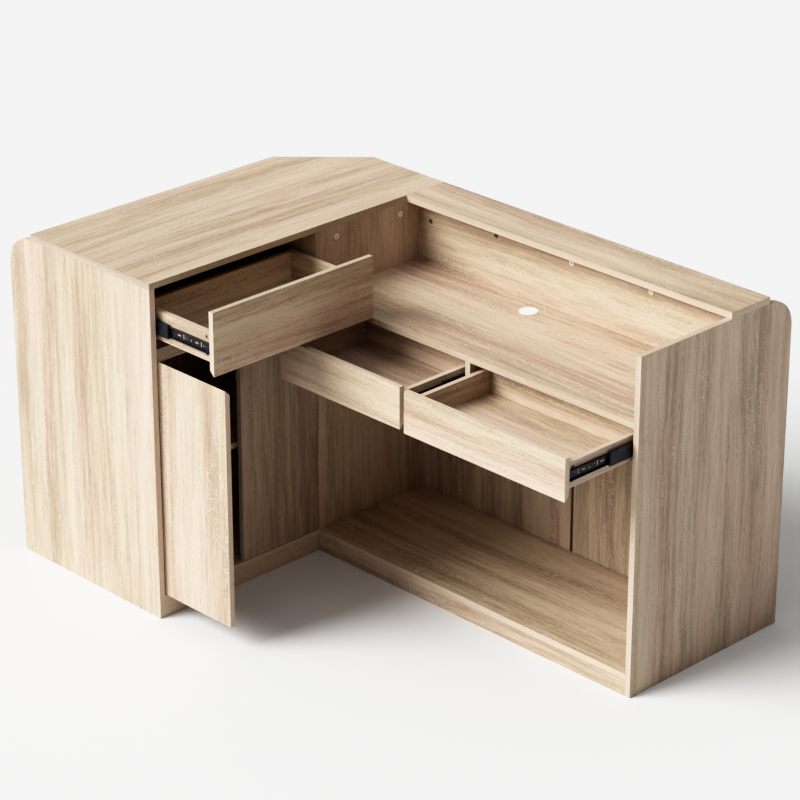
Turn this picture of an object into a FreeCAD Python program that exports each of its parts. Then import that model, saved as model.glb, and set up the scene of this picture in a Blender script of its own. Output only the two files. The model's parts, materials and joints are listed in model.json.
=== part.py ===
"""L-shaped reception desk: a wing cabinet, a desk with two drawers and a raised counter."""
import FreeCAD, Part
import os
import Sketcher
from FreeCAD import Placement, Rotation, Vector

# Driving sizes in millimetres. X runs along the desk, Y from the staff side to the visitor side.
SIZES = {
    "overall_length": 1800,      # along X, over both end panels
    "overall_depth": 1200,       # along Y, over both end panels
    "overall_height": 1000,      # to the top of the counter boards
    "wing_depth": 600,           # both end panels, and so both wings
    "board": 18,                 # carcass board
    "front_board": 16,           # doors and drawer fronts
    "side_board": 15,            # drawer sides and backs
    "floor_board": 4,            # drawer bottoms
    "ear": 96,                   # end panel past the counter's visitor edge
    "ear_radius": 90,            # rounded top corner of each end panel
    "counter_depth": 154,        # raised counter over the desk
    "counter_chamfer": 210,      # cut corner of the wing top
    "facade_setback": 164,       # end panel's edge to the facade's outer face
    "facade_gap": 10,            # shadow joint between the two desk facade boards
    "strip_recess": 4,           # joint strip, behind both facade faces
    "desk_height": 796,          # working surface
    "plinth_height": 48,
    "door_bottom": 68,
    "door_top": 770,
    "door_reveal": 3.5,          # hinge edge of a door to the wall beside it
    "door_meeting_gap": 3,       # between the two doors
    "pull_bevel": 15,            # finger pull cut behind a front's edge
    "bevel_land": 1,             # flat left at the sharp side of the bevel
    "shelf_top": 422,
    "shelf_setback": 38,         # shelf's front edge behind the door face
    "shelf_clearance": 1,        # each end of the shelf
    "pin_radius": 2.5,
    "pin_depth": 9,              # shelf pin in the wall
    "pin_reach": 8,              # shelf pin under the shelf
    "pin_inset": 60,             # pin from the shelf's front and back edges
    "rail_height": 20,           # rail under the drawer deck
    "wing_front_bottom": 798,
    "wing_front_top": 980,
    "wing_side_bottom": 835,
    "wing_side_top": 915,
    "wing_slide_centre": 870,
    "wing_pull": 230,            # how far the wing drawer stands open at rest
    "wing_middle_setback": 51,   # middle slide member's front end, when closed
    "desk_front_bottom": 654,
    "desk_front_top": 776,
    "desk_side_bottom": 686,
    "desk_side_top": 754,
    "desk_slide_centre": 719,
    "left_pull": 242,
    "right_pull": 250,
    "desk_middle_setback": 25,
    "hanger_bottom": 650,        # lower edge of the walls that carry the desk drawers
    "hanger_inset": 96,          # left hanger from the corner panel
    "partition_inset": 582,      # centre partition from the corner panel
    "front_gap": 3,              # drawer front to the wall beside it
    "slide_gap": 13,             # wall to drawer side
    "slide_length": 300,
    "slide_setback": 18,         # fixed member behind the cabinet's front
    "middle_length": 245,
    "steel": 1.2,                # slide members' wall
    "rail_slot": 45,             # fixed member's height
    "middle_slot": 40,
    "runner_slot": 30,
    "cam_radius": 7.5,
    "cam_depth": 12,             # holes in the boards
    "cam_sink": 1,               # cam housing below the board's face
    "cam_height": 950,           # cam housings under the counter boards
    "low_cam_height": 921,       # cam housing beside the corner panel
    "cam_cap_radius": 8.5,
    "cam_cap_height": 1.2,
    "cap_hole_radius": 2,
    "side_cam_radius": 5,
    "side_cam_depth": 9,
    "side_cam_inset": 22,        # from the front's inner face
    "side_cam_edge": 15,         # from the drawer side's edges
    "grommet_x": 1093,
    "grommet_y": 938,
    "grommet_hole": 23,
    "grommet_flange": 27,
    "grommet_wall": 1.5,
    "grommet_drop": 20,
    "cup_radius": 17.4,
    "cup_hole": 17.5,
    "cup_depth": 12.2,
    "cup_hole_depth": 12.5,
    "cup_edge": 3,               # door edge to the cup's hole
    "hinge_pin_radius": 1.5,
    "hinge_pin_clearance": 0.05,
    "hinge_from_face": 8,        # hinge axis behind the door's face
    "hinge_from_edge": 8.5,      # hinge axis from the door's edge
    "hinge_inset": 100,          # hinges from the door's ends
}

doc = FreeCAD.newDocument("reception_desk")
nodes = []


class Length:
    """A size worked out from the sheet: its value in millimetres and the expression that drives it."""

    def __init__(self, mm, expression):
        self.mm = mm
        self.expression = expression

    def __add__(self, other):
        other = length(other)
        return Length(self.mm + other.mm, f"({self.expression} + {other.expression})")

    def __radd__(self, other):
        return length(other) + self

    def __sub__(self, other):
        other = length(other)
        return Length(self.mm - other.mm, f"({self.expression} - {other.expression})")

    def __rsub__(self, other):
        return length(other) - self

    def __mul__(self, factor):
        return Length(self.mm * factor, f"({self.expression} * {factor})")

    def __truediv__(self, divisor):
        return Length(self.mm / divisor, f"({self.expression} / {divisor})")

    def __neg__(self):
        return Length(-self.mm, f"(0 - {self.expression})")


def length(value):
    """A plain number as a Length, for sizes that nothing drives."""
    return value if isinstance(value, Length) else Length(value, repr(value))


class Sheet:
    """The spreadsheet of driving sizes, each read as an attribute."""

    def __init__(self):
        sheet = doc.addObject("Spreadsheet::Sheet", "Sizes")
        for row, (alias, value) in enumerate(SIZES.items(), start=1):
            sheet.set(f"A{row}", alias.replace("_", " "))
            sheet.set(f"B{row}", str(value))
            sheet.setAlias(f"B{row}", alias)
            setattr(self, alias, Length(value, f"Sizes.{alias}"))
        doc.recompute()


S = Sheet()

# Planes that several parts share.
UNDER_TOP = S.overall_height - S.board
RIGHT_WALL_X = S.overall_length - S.board
DESK_FRONT_Y = S.overall_depth - S.wing_depth
FACADE_OUTER_Y = S.overall_depth - S.facade_setback
FACADE_INNER_Y = FACADE_OUTER_Y - S.board
BACK_BOARD_Y = FACADE_INNER_Y - S.board
FACADE_INNER_X = S.facade_setback + S.board
COUNTER_BACK_Y = S.overall_depth - S.ear
COUNTER_FRONT_Y = COUNTER_BACK_Y - S.counter_depth
UNDER_DESK = S.desk_height - S.board
PLATFORM_TOP = S.plinth_height + S.board
PARTITION_X = S.wing_depth + S.partition_inset
HANGER_X = S.wing_depth + S.hanger_inset


class Frame:
    """A local frame standing on the floor: not turned, or turned a quarter clockwise."""

    def __init__(self, x, y, turned=False):
        self.x = length(x)
        self.y = length(y)
        self.turned = turned

    def base(self, along, across, up):
        """Where a local point lies, from the middle of the whole desk's footprint."""
        if self.turned:
            x, y = self.x + across, self.y - along
        else:
            x, y = self.x + along, self.y + across
        return x - S.overall_length / 2, y - S.overall_depth / 2, length(up)


WHOLE = Frame(0, 0)


def put(thing, frame, at):
    """Place an object at a local point of its frame."""
    spin = Rotation(Vector(0, 0, 1), -90 if frame.turned else 0)
    base = frame.base(*at)
    thing.Placement = Placement(Vector(*(b.mm for b in base)), spin)
    for axis, value in zip("xyz", base):
        thing.setExpression(f"Placement.Base.{axis}", value.expression)
    return thing


def drive(thing, **sizes):
    """Bind an object's properties to the sheet."""
    for name, value in sizes.items():
        thing.setExpression(name, length(value).expression)
    return thing


def keep(thing, label):
    """Make an object a sub-part of its own."""
    thing.Label = label
    nodes.append(thing)
    return thing


def box(name, at, size, frame=WHOLE):
    """A plain board from its lowest corner and its three sides."""
    thing = doc.addObject("Part::Box", name)
    drive(thing, Length=size[0], Width=size[1], Height=size[2])
    return put(thing, frame, at)


def rod(name, at, radius, height, direction=Vector(0, 0, 1), frame=WHOLE):
    """A cylinder along a local direction."""
    thing = doc.addObject("Part::Cylinder", name)
    drive(thing, Radius=radius, Height=height)
    put(thing, frame, at)
    lean = Rotation(Vector(0, 0, 1), direction)
    thing.Placement = Placement(thing.Placement.Base, thing.Placement.Rotation * lean)
    return thing


def group(label, pieces):
    """Identical pieces kept as separate solids of one sub-part."""
    compound = doc.addObject("Part::Compound", label)
    compound.Links = pieces
    return keep(compound, label)


def sketch_on(body, role):
    """An empty sketch on one of a body's own origin planes."""
    sketch = body.newObject("Sketcher::SketchObject", f"{body.Name}_sketch")
    plane = next(f for f in body.Origin.OriginFeatures if f.Role == role)
    sketch.AttachmentSupport = [(plane, "")]
    sketch.MapMode = "FlatFace"
    return sketch


def pin_point(sketch, edge, end, axis_name, axis, value):
    """Fix one coordinate of a sketch point, on the axis itself where it is zero."""
    value = length(value)
    if value.mm == 0:
        sketch.addConstraint(Sketcher.Constraint("PointOnObject", edge, end, axis))
        return
    constraint = Sketcher.Constraint(axis_name, -1, 1, edge, end, value.mm)
    index = sketch.addConstraint(constraint)
    sketch.setExpression(f"Constraints[{index}]", value.expression)


def add_outline(sketch, points):
    """A closed polygon whose corners are driven by the sheet."""
    corners = [Vector(length(a).mm, length(b).mm, 0) for a, b in points]
    first = sketch.GeometryCount
    for start, end in zip(corners, corners[1:] + corners[:1]):
        sketch.addGeometry(Part.LineSegment(start, end), False)
    count = len(corners)
    for i in range(count):
        after = first + (i + 1) % count
        sketch.addConstraint(Sketcher.Constraint("Coincident", first + i, 2, after, 1))
    for i, (a, b) in enumerate(points):
        pin_point(sketch, first + i, 1, "DistanceX", -2, a)
        pin_point(sketch, first + i, 1, "DistanceY", -1, b)


def add_circle(sketch, centre, radius):
    """A circle whose centre and radius are driven by the sheet."""
    a, b = (length(c) for c in centre)
    radius = length(radius)
    circle = Part.Circle(Vector(a.mm, b.mm, 0), Vector(0, 0, 1), radius.mm)
    edge = sketch.addGeometry(circle, False)
    pin_point(sketch, edge, 3, "DistanceX", -2, a)
    pin_point(sketch, edge, 3, "DistanceY", -1, b)
    index = sketch.addConstraint(Sketcher.Constraint("Radius", edge, radius.mm))
    sketch.setExpression(f"Constraints[{index}]", radius.expression)


def panel(name, role, points, thickness, at, frame=WHOLE):
    """A board or profile: an outline in one plane, padded towards plus X, Y or Z."""
    body = doc.addObject("PartDesign::Body", name)
    sketch = sketch_on(body, role)
    add_outline(sketch, points)
    pad = body.newObject("PartDesign::Pad", f"{name}_pad")
    pad.Profile = sketch
    pad.Reversed = role == "XZ_Plane"
    drive(pad, Length=thickness)
    sketch.Visibility = False
    put(body, frame, at)
    doc.recompute()
    return body


def cut(body, role, draw, level, depth, towards_plus):
    """Pocket what draw puts on a plane at a level, towards plus or minus of that plane's axis."""
    before = body.Shape.Volume
    sketch = sketch_on(body, role)
    normal = -1 if role == "XZ_Plane" else 1
    sketch.AttachmentOffset = Placement(Vector(0, 0, normal * length(level).mm), Rotation())
    sketch.setExpression("AttachmentOffset.Base.z", (length(level) * normal).expression)
    draw(sketch)
    pocket = body.newObject("PartDesign::Pocket", f"{body.Name}_pocket")
    pocket.Profile = sketch
    pocket.Reversed = towards_plus == (normal > 0)
    drive(pocket, Length=depth)
    sketch.Visibility = False
    body.Tip = pocket
    doc.recompute()
    if not body.Shape.Volume < before:
        raise RuntimeError(f"{body.Name}: a pocket cut nothing")
    return body


def drill(body, role, centres, radius, level, depth, towards_plus):
    """Round holes through or into one face."""

    def draw(sketch):
        for centre in centres:
            add_circle(sketch, centre, radius)

    return cut(body, role, draw, level, depth, towards_plus)


def rectangle(width, height):
    """The outline of a plain board with one corner at the local origin."""
    return [(0, 0), (width, 0), (width, height), (0, height)]


def rounded_corner(body, near):
    """Round the thickness edge of an end panel that lies nearest a local point."""
    pad = body.Tip
    edges = pad.Shape.Edges
    nearest = min(range(len(edges)), key=lambda i: edges[i].CenterOfMass.distanceToPoint(near))
    fillet = body.newObject("PartDesign::Fillet", f"{body.Name}_fillet")
    fillet.Base = (pad, [f"Edge{nearest + 1}"])
    drive(fillet, Radius=S.ear_radius)
    body.Tip = fillet
    doc.recompute()
    return body


# ---- Carcass ----------------------------------------------------------------------------------

PIN_CENTRE_Z = S.shelf_top - S.board - S.pin_radius
SHELF_FRONT_X = S.wing_depth - S.shelf_setback
PIN_XS = (FACADE_INNER_X + S.pin_inset, SHELF_FRONT_X - S.pin_inset)


def end_panels():
    left = panel("left_end_panel", "XZ_Plane", rectangle(S.wing_depth, UNDER_TOP), S.board, (0, 0, 0))
    rounded_corner(left, Vector(0, S.board.mm / 2, UNDER_TOP.mm))
    drill(left, "XZ_Plane", [(x, PIN_CENTRE_Z) for x in PIN_XS], S.pin_radius, S.board, S.pin_depth, False)
    keep(left, "left_end_panel")
    right = panel("right_end_panel", "YZ_Plane", rectangle(S.wing_depth, UNDER_TOP), S.board,
                  (RIGHT_WALL_X, DESK_FRONT_Y, 0))
    rounded_corner(right, Vector(S.board.mm / 2, S.wing_depth.mm, UNDER_TOP.mm))
    keep(right, "right_end_panel")


def counter_tops():
    cut_y = COUNTER_BACK_Y - S.counter_chamfer
    points = [(S.ear, 0), (S.wing_depth, 0), (S.wing_depth, COUNTER_BACK_Y),
              (S.ear + S.counter_chamfer, COUNTER_BACK_Y), (S.ear, cut_y)]
    keep(panel("wing_top", "XY_Plane", points, S.board, (0, 0, UNDER_TOP)), "wing_top")
    ledge = box("counter_ledge", (S.wing_depth, COUNTER_FRONT_Y, UNDER_TOP),
                (S.overall_length - S.wing_depth, S.counter_depth, S.board))
    keep(ledge, "counter_ledge")


def desk_surface():
    points = rectangle(RIGHT_WALL_X - S.wing_depth, BACK_BOARD_Y - DESK_FRONT_Y)
    top = panel("desk_top", "XY_Plane", points, S.board, (S.wing_depth, DESK_FRONT_Y, UNDER_DESK))
    centre = (S.grommet_x - S.wing_depth, S.grommet_y - DESK_FRONT_Y)
    drill(top, "XY_Plane", [centre], S.grommet_hole, S.board, S.board, False)
    keep(top, "desk_top")


def mitre(distance):
    """How far a facade board's mitred end slides for a distance behind the counter's edge."""
    tangent_of_half_turn = 2 ** 0.5 - 1
    return distance * tangent_of_half_turn


def facade():
    overhang = S.facade_setback - S.ear
    cut_y = COUNTER_BACK_Y - S.counter_chamfer
    cut_x = S.ear + S.counter_chamfer
    left_outer = (S.facade_setback, cut_y - mitre(overhang))
    left_inner = (FACADE_INNER_X, cut_y - mitre(overhang + S.board))
    right_outer = (cut_x + mitre(overhang), FACADE_OUTER_Y)
    right_inner = (cut_x + mitre(overhang + S.board), FACADE_INNER_Y)
    boards = {
        "facade_wing_board": [(S.facade_setback, S.board), (FACADE_INNER_X, S.board), left_inner, left_outer],
        "facade_corner_board": [left_outer, left_inner, right_inner, right_outer],
    }
    middle = (S.wing_depth + S.overall_length) / 2
    half = S.facade_gap / 2
    boards["facade_desk_board_left"] = [right_inner, (middle - half, FACADE_INNER_Y),
                                        (middle - half, FACADE_OUTER_Y), right_outer]
    for label, points in boards.items():
        keep(panel(label, "XY_Plane", points, UNDER_TOP, (0, 0, 0)), label)
    last = box("facade_desk_board_right", (middle + half, FACADE_INNER_Y, 0),
               (RIGHT_WALL_X - middle - half, S.board, UNDER_TOP))
    keep(last, "facade_desk_board_right")
    strip = box("facade_joint_strip", (middle - half, FACADE_INNER_Y + S.strip_recess, 0),
                (S.facade_gap, S.board - S.strip_recess * 2, UNDER_TOP))
    keep(strip, "facade_joint_strip")


CAM_XS = (648, 906, 1192, 1480)     # cam housings along the back board
CAPPED_XS = CAM_XS[2:]              # the ones with a cover cap
CORNER_CAM_YS = (678, 926)          # cam housings in the corner panel


def cam_place(x):
    """A cam housing's height on the back board: the first one ties the corner panel, lower down."""
    return S.low_cam_height if x == CAM_XS[0] else S.cam_height


def inner_boards():
    back = panel("upper_back_board", "XZ_Plane",
                 rectangle(RIGHT_WALL_X - S.wing_depth, UNDER_TOP - UNDER_DESK), S.board,
                 (S.wing_depth, BACK_BOARD_Y, UNDER_DESK))
    centres = [(x - S.wing_depth, cam_place(x) - UNDER_DESK) for x in CAM_XS]
    drill(back, "XZ_Plane", centres, S.cam_radius, 0, S.cam_depth, True)
    keep(back, "upper_back_board")
    corner = panel("corner_panel", "YZ_Plane",
                   rectangle(FACADE_INNER_Y - DESK_FRONT_Y, UNDER_TOP), S.board,
                   (S.wing_depth - S.board, DESK_FRONT_Y, 0))
    centres = [(y - DESK_FRONT_Y, S.cam_height) for y in CORNER_CAM_YS]
    drill(corner, "YZ_Plane", centres, S.cam_radius, S.board, S.cam_depth, False)
    keep(corner, "corner_panel")


def foot_platform():
    run = RIGHT_WALL_X - S.wing_depth
    keep(box("platform_board", (S.wing_depth, DESK_FRONT_Y, S.plinth_height),
             (run, FACADE_INNER_Y - DESK_FRONT_Y, S.board)), "platform_board")
    keep(box("platform_plinth", (S.wing_depth, DESK_FRONT_Y, 0),
             (run, S.board, S.plinth_height)), "platform_plinth")
    keep(box("platform_bearer", (PARTITION_X, DESK_FRONT_Y + S.board, 0),
             (S.board, FACADE_INNER_Y - DESK_FRONT_Y - S.board, S.plinth_height)), "platform_bearer")


def wing_cabinet():
    inside = DESK_FRONT_Y - S.board
    depth = S.wing_depth - FACADE_INNER_X
    keep(box("cabinet_bottom", (FACADE_INNER_X, S.board, S.plinth_height),
             (depth, inside, S.board)), "cabinet_bottom")
    keep(box("cabinet_plinth", (S.wing_depth - S.board, S.board, 0),
             (S.board, inside, S.plinth_height)), "cabinet_plinth")
    divider = panel("cabinet_divider", "XZ_Plane", rectangle(depth - S.board, UNDER_TOP), S.board,
                    (FACADE_INNER_X, DESK_FRONT_Y, 0))
    centres = [(x - FACADE_INNER_X, PIN_CENTRE_Z) for x in PIN_XS]
    drill(divider, "XZ_Plane", centres, S.pin_radius, 0, S.pin_depth, True)
    keep(divider, "cabinet_divider")
    keep(box("drawer_deck", (FACADE_INNER_X, S.board, UNDER_DESK),
             (depth - S.board, inside, S.board)), "drawer_deck")
    keep(box("deck_front_rail", (S.wing_depth - S.board * 2, S.board, UNDER_DESK - S.rail_height),
             (S.board, inside, S.rail_height)), "deck_front_rail")
    keep(box("cabinet_shelf", (FACADE_INNER_X, S.board + S.shelf_clearance, S.shelf_top - S.board),
             (SHELF_FRONT_X - FACADE_INNER_X, inside - S.shelf_clearance * 2, S.board)), "cabinet_shelf")
    long_pin = S.pin_depth + S.pin_reach
    pins = []
    for i, x in enumerate(PIN_XS):
        pins.append(rod(f"pin_near_{i}", (x, S.board - S.pin_depth, PIN_CENTRE_Z),
                        S.pin_radius, long_pin, Vector(0, 1, 0)))
        pins.append(rod(f"pin_far_{i}", (x, DESK_FRONT_Y - S.pin_reach, PIN_CENTRE_Z),
                        S.pin_radius, long_pin, Vector(0, 1, 0)))
    group("shelf_pins", pins)


def drawer_walls():
    """The short walls under the desk that carry the drawers, and the filler beside the corner."""
    drop = UNDER_DESK - S.hanger_bottom
    depth = BACK_BOARD_Y - DESK_FRONT_Y
    for label, x in (("desk_partition", PARTITION_X), ("drawer_hanger", HANGER_X)):
        keep(box(label, (x, DESK_FRONT_Y, S.hanger_bottom), (S.board, depth, drop)), label)
    keep(box("corner_filler", (S.wing_depth, DESK_FRONT_Y, S.hanger_bottom),
             (S.hanger_inset, S.front_board, drop)), "corner_filler")


def cable_grommet():
    at = (S.grommet_x, S.grommet_y)
    under_flange = S.desk_height - S.grommet_drop
    bore = S.grommet_hole - S.grommet_wall
    sleeve = rod("grommet_sleeve", (*at, under_flange), S.grommet_hole, S.grommet_drop)
    flange = rod("grommet_flange", (*at, S.desk_height), S.grommet_flange, S.grommet_wall)
    hollow = rod("grommet_bore", (*at, under_flange), bore, S.grommet_drop + S.grommet_wall)
    outer = doc.addObject("Part::Fuse", "grommet_outer")
    outer.Base, outer.Tool = sleeve, flange
    ring = doc.addObject("Part::Cut", "grommet_ring")
    ring.Base, ring.Tool = outer, hollow
    keep(ring, "grommet_ring")
    cap = rod("grommet_cap", (*at, S.desk_height), bore, S.grommet_wall)
    keep(cap, "grommet_cap")


def cam_fittings():
    """Zinc cam housings sunk in the back board and the corner panel, and caps over four of them."""
    into_back = Vector(0, 1, 0)
    into_corner = Vector(-1, 0, 0)
    depth = S.cam_depth - S.cam_sink
    cams = [rod(f"cam_{x}", (x, BACK_BOARD_Y + S.cam_sink, cam_place(x)), S.cam_radius, depth, into_back)
            for x in CAM_XS]
    cams += [rod(f"corner_cam_{y}", (S.wing_depth - S.cam_sink, y, S.cam_height), S.cam_radius, depth,
                 into_corner) for y in CORNER_CAM_YS]
    group("cam_housings", cams)
    places = [((x, BACK_BOARD_Y, S.cam_height), Vector(0, -1, 0)) for x in CAPPED_XS]
    places += [((S.wing_depth, y, S.cam_height), Vector(1, 0, 0)) for y in CORNER_CAM_YS]
    caps = []
    for i, (at, outward) in enumerate(places):
        disc = rod(f"cap_disc_{i}", at, S.cam_cap_radius, S.cam_cap_height, outward)
        hole = rod(f"cap_hole_{i}", at, S.cap_hole_radius, S.cam_cap_height, outward)
        cap = doc.addObject("Part::Cut", f"cap_{i}")
        cap.Base, cap.Tool = disc, hole
        caps.append(cap)
    group("cam_caps", caps)


# ---- Drawers ----------------------------------------------------------------------------------

class Drawer:
    """One drawer's sizes. Its frame has X towards the user, from the cabinet's front edge."""

    def __init__(self, name, frame, opening, pull, front, sides, slide_centre, setback):
        self.name = name
        self.frame = frame
        self.opening = opening
        self.pull = pull
        self.front = front
        self.sides = sides
        self.slide_centre = slide_centre
        self.setback = setback
        self.face = pull - S.front_board          # the front's inner face
        self.rear = self.face - S.slide_length    # the box's back end


def bevelled(thickness, low, high, pull_up):
    """A front's section: a finger pull cut behind its lower edge, or behind its upper edge."""
    land = thickness - S.bevel_land
    if pull_up:
        return [(0, low + S.pull_bevel), (land, low), (thickness, low), (thickness, high), (0, high)]
    return [(0, low), (thickness, low), (thickness, high), (land, high), (0, high - S.pull_bevel)]


def channel(height, depth, open_right):
    """A slide member's U section, its web at the local origin and its lips away from it."""
    half, wall = height / 2, S.steel
    side = 1 if open_right else -1
    lip, web = depth * side, wall * side
    return [(0, -half), (lip, -half), (lip, wall - half), (web, wall - half),
            (web, half - wall), (lip, half - wall), (lip, half), (0, half)]


SLOT_GROUPS = 4
SLOT_PITCH = 70
FIRST_SLOT = 44          # the first upright slot, from the runner's front end
SLOT_WIDTH = 5
SLOT_LENGTH = 15
LONG_SLOT_BEHIND = 18    # the long slot's middle, behind the upright slot
ROUND_HOLES = ((10, 2.5), (18, 2))   # distance ahead of the upright slot, and radius


def oblong(centre, length_along, height):
    """The outline of a slot about a point on the runner's middle line."""
    back, front = centre - length_along / 2, centre + length_along / 2
    return [(back, -height / 2), (front, -height / 2), (front, height / 2), (back, height / 2)]


def slide_slots(sketch):
    """The runner's stamped screw slots: one long, one upright and two round in each group."""
    for i in range(SLOT_GROUPS):
        upright = S.slide_length - FIRST_SLOT - i * SLOT_PITCH
        add_outline(sketch, oblong(upright - LONG_SLOT_BEHIND, SLOT_LENGTH, SLOT_WIDTH))
        add_outline(sketch, oblong(upright, SLOT_WIDTH, SLOT_LENGTH))
        for ahead, radius in ROUND_HOLES:
            add_circle(sketch, (upright + ahead, 0), radius)


def slide_member(name, drawer, height, depth, start, across, run, open_right):
    """One steel member of a slide, along the drawer's travel."""
    return panel(name, "YZ_Plane", channel(height, depth, open_right), run,
                 (start, across, drawer.slide_centre), drawer.frame)


# Each slide member's web, from the wall beside the drawer, and its lips' reach.
RAIL_WEB, RAIL_LIP = 0, 7
MIDDLE_WEB, MIDDLE_LIP = 2.4, 7.6
RUNNER_LIP = 7


def slide_pair(drawer, kind, height, web, lip, start, run, opens_inwards):
    """The same member on both sides of a drawer."""
    near = slide_member(f"{drawer.name}_{kind}_near", drawer, height, lip, start, web, run, opens_inwards)
    far = slide_member(f"{drawer.name}_{kind}_far", drawer, height, lip, start,
                       drawer.opening - web, run, not opens_inwards)
    return [near, far]


def fixed_rails(drawer):
    return slide_pair(drawer, "rail", S.rail_slot, RAIL_WEB, RAIL_LIP,
                      -(S.slide_setback + S.slide_length), S.slide_length, True)


def middle_members(drawer):
    front_end = drawer.pull / 2 - S.slide_setback - drawer.setback
    pair = slide_pair(drawer, "middle", S.middle_slot, MIDDLE_WEB, MIDDLE_LIP,
                      front_end - S.middle_length, S.middle_length, True)
    group(f"{drawer.name}_slide_middles", pair)


def runners(drawer):
    pair = slide_pair(drawer, "runner", S.runner_slot, S.slide_gap, RUNNER_LIP,
                      drawer.rear, S.slide_length, False)
    webs = ((-S.steel, True), (0, True))
    for runner, (level, plus) in zip(pair, webs):
        cut(runner, "XZ_Plane", slide_slots, level, S.steel, plus)
    group(f"{drawer.name}_runners", pair)


def drawer_side(drawer, label, across, outer_level, inwards_plus):
    """A drawer side, drilled near its front end for two cam fittings."""
    low, high = drawer.sides
    side = panel(label, "XZ_Plane", rectangle(S.slide_length, high - low), S.side_board,
                 (drawer.rear, across, low), drawer.frame)
    cam_x = S.slide_length - S.side_cam_inset
    centres = [(cam_x, S.side_cam_edge), (cam_x, high - low - S.side_cam_edge)]
    drill(side, "XZ_Plane", centres, S.side_cam_radius, outer_level, S.side_cam_depth, inwards_plus)
    keep(side, label)


def drawer_cams(drawer):
    low, high = drawer.sides
    cams = []
    for i, z in enumerate((low + S.side_cam_edge, high - S.side_cam_edge)):
        x = drawer.face - S.side_cam_inset
        cams.append(rod(f"{drawer.name}_cam_near_{i}", (x, S.slide_gap, z), S.side_cam_radius,
                        S.side_cam_depth, Vector(0, 1, 0), drawer.frame))
        cams.append(rod(f"{drawer.name}_cam_far_{i}", (x, drawer.opening - S.slide_gap, z),
                        S.side_cam_radius, S.side_cam_depth, Vector(0, -1, 0), drawer.frame))
    group(f"{drawer.name}_cams", cams)


def drawer_box(drawer):
    """Front, sides, back, bottom, cams and the runners that move with them."""
    name, frame = drawer.name, drawer.frame
    low, high = drawer.sides
    bottom, top = drawer.front
    width = drawer.opening - S.front_gap * 2
    front = panel(f"{name}_front", "XZ_Plane", bevelled(S.front_board, 0, top - bottom, True), width,
                  (drawer.face, S.front_gap, bottom), frame)
    keep(front, f"{name}_front")
    far_side = drawer.opening - S.slide_gap - S.side_board
    drawer_side(drawer, f"{name}_left_side", S.slide_gap, 0, True)
    drawer_side(drawer, f"{name}_right_side", far_side, S.side_board, False)
    inner = S.slide_gap + S.side_board
    keep(box(f"{name}_back", (drawer.rear, inner, low),
             (S.side_board, drawer.opening - inner * 2, high - low), frame), f"{name}_back")
    keep(box(f"{name}_bottom", (drawer.rear, S.slide_gap, low - S.floor_board),
             (S.slide_length, drawer.opening - S.slide_gap * 2, S.floor_board), frame), f"{name}_bottom")
    drawer_cams(drawer)
    runners(drawer)
    middle_members(drawer)


def drawers():
    desk_front = (S.desk_front_bottom, S.desk_front_top)
    desk_sides = (S.desk_side_bottom, S.desk_side_top)
    left_wall = HANGER_X + S.board
    right_wall = PARTITION_X + S.board
    wing = Drawer("wing_drawer", Frame(S.wing_depth, S.board), DESK_FRONT_Y - S.board, S.wing_pull,
                  (S.wing_front_bottom, S.wing_front_top), (S.wing_side_bottom, S.wing_side_top),
                  S.wing_slide_centre, S.wing_middle_setback)
    left = Drawer("left_drawer", Frame(left_wall, DESK_FRONT_Y, True), PARTITION_X - left_wall,
                  S.left_pull, desk_front, desk_sides, S.desk_slide_centre, S.desk_middle_setback)
    right = Drawer("right_drawer", Frame(right_wall, DESK_FRONT_Y, True), RIGHT_WALL_X - right_wall,
                   S.right_pull, desk_front, desk_sides, S.desk_slide_centre, S.desk_middle_setback)
    for drawer in (wing, left, right):
        drawer_box(drawer)
    group("wing_slide_rails", fixed_rails(wing))
    group("desk_slide_rails", fixed_rails(left) + fixed_rails(right))


# ---- Doors ------------------------------------------------------------------------------------

DOOR_WIDTH = (DESK_FRONT_Y - S.board - S.door_reveal * 2 - S.door_meeting_gap) / 2
HINGE_X = S.wing_depth - S.hinge_from_face
HINGE_OFF_WALL = S.door_reveal + S.hinge_from_edge
CUP_FROM_HINGE = S.cup_edge + S.cup_hole - S.hinge_from_edge
DOOR_INNER = S.hinge_from_face - S.front_board     # the door's inner face, from the hinge axis
HINGE_ZS = (S.door_bottom + S.hinge_inset, S.door_top - S.hinge_inset)

# A door's frame has its origin on the hinge axis and X out of the closed door. The door runs
# towards plus Y (side 1) or minus Y (side -1).
LEFT_HINGE = Frame(HINGE_X, S.board + HINGE_OFF_WALL, True)
LEFT_HINGE_FIXED = Frame(HINGE_X, S.board + HINGE_OFF_WALL)
RIGHT_HINGE = Frame(HINGE_X, DESK_FRONT_Y - HINGE_OFF_WALL)


def door(label, frame, side):
    """A door leaf with a finger pull behind its top edge and two cup holes."""
    start = -S.hinge_from_edge if side > 0 else S.hinge_from_edge - DOOR_WIDTH
    leaf = panel(label, "XZ_Plane", bevelled(S.front_board, 0, S.door_top - S.door_bottom, False),
                 DOOR_WIDTH, (DOOR_INNER, start, S.door_bottom), frame)
    cup_y = CUP_FROM_HINGE * side - start
    centres = [(cup_y, z - S.door_bottom) for z in HINGE_ZS]
    drill(leaf, "YZ_Plane", centres, S.cup_hole, 0, S.cup_hole_depth, True)
    keep(leaf, label)


CUP_WALL = 1
FLANGE_HEIGHT = 52       # the flange that is screwed to the door's inner face
FLANGE_WIDTH = 26
FLANGE_SINK = 2          # how far the flange's edge lies inside the cup's edge
PIN_LENGTH = 23


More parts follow.
